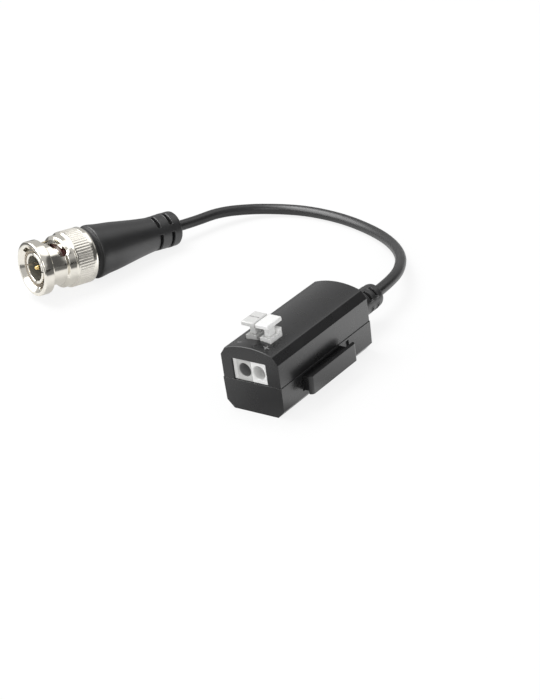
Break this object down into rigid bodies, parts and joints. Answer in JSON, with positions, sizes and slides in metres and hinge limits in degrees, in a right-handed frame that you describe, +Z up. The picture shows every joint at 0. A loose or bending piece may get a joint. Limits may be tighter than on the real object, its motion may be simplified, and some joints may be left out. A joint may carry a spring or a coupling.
{
  "type": "cctv video balun",
  "caption": "Passive video balun: small clip-together case with push-lever wire terminals and side rail clip, and a short coax pigtail ending in a bayonet plug.",
  "frame": {"origin": "middle of the case's flat underside", "axes": "+Y along the case from the wire terminals to the cable end, +Z up to the crown and levers, +X towards the rail plate"},
  "size_m": [0.1051, 0.0944, 0.02],
  "materials": {
    "case_black": "semi-gloss moulded black",
    "terminal_grey": "light grey moulded",
    "terminal_white": "white moulded",
    "board_green": "green laminate",
    "ferrite_dark": "dark sintered ferrite",
    "enamel_copper": "enamelled copper",
    "enamel_red": "red enamelled copper",
    "spring_steel": "bright spring steel",
    "tinned_brass": "tin plated brass",
    "chip_dark": "dark moulded body",
    "chip_beige": "beige ceramic",
    "cable_black": "soft black jacket",
    "boot_black": "soft black moulding",
    "nickel": "bright nickel plate",
    "gold_pin": "gold plate",
    "insulator_dark": "dark grey insulator",
    "gasket_red": "dark red silicone"
  },
  "bodies": {
    "housing": {"upper_shell": "case_black", "lower_shell": "case_black", "terminal_pole_minus": "terminal_grey", "terminal_pole_plus": "terminal_white", "terminal_end_plate": "terminal_grey", "clamp_spring_minus": "spring_steel", "clamp_spring_plus": "spring_steel", "current_bar_minus": "tinned_brass", "current_bar_plus": "tinned_brass", "circuit_board": "board_green", "ferrite_core": "ferrite_dark", "primary_winding": "enamel_copper", "secondary_winding": "enamel_red", "surge_suppressor": "chip_dark", "chip_capacitors": "chip_beige", "chip_resistors": "chip_dark", "coax_case_end": "cable_black", "centre_wire": "tinned_brass", "braid_tail": "tinned_brass", "cable_relief": "boot_black", "coax_cable": "cable_black", "plug_boot": "boot_black", "crimp_ferrule": "nickel", "coax_plug_end": "cable_black", "plug_shell": "nickel", "plug_insulator": "insulator_dark", "centre_contact": "gold_pin", "sealing_gasket": "gasket_red", "wave_washer": "spring_steel", "retaining_ring": "spring_steel"},
    "lever_minus": {"push_lever_minus": "terminal_grey"},
    "lever_plus": {"push_lever_plus": "terminal_white"},
    "nut_slide": {"flat_washer": "nickel"},
    "coupling_nut": {"coupling_nut": "nickel"}
  },
  "joints": [
    {"name": "lever_minus_press", "type": "slide", "parent": "housing", "child": "lever_minus", "axis": [0, 0, -1], "range_m": [0, 0.0012], "stiffness_N_per_m": 2500},
    {"name": "lever_plus_press", "type": "slide", "parent": "housing", "child": "lever_plus", "axis": [0, 0, -1], "range_m": [0, 0.0012], "stiffness_N_per_m": 2500},
    {"name": "nut_pull", "type": "slide", "parent": "housing", "child": "nut_slide", "axis": [-0.2957, -0.9504, 0.0966], "range_m": [0, 0.0008], "stiffness_N_per_m": 8000, "deforming": ["wave_washer"]},
    {"name": "nut_turn", "type": "hinge", "parent": "nut_slide", "child": "coupling_nut", "pos_m": [-0.08765, 0.008, 0.00868], "axis": [-0.2957, -0.9504, 0.0966], "continuous": true}
  ]
}
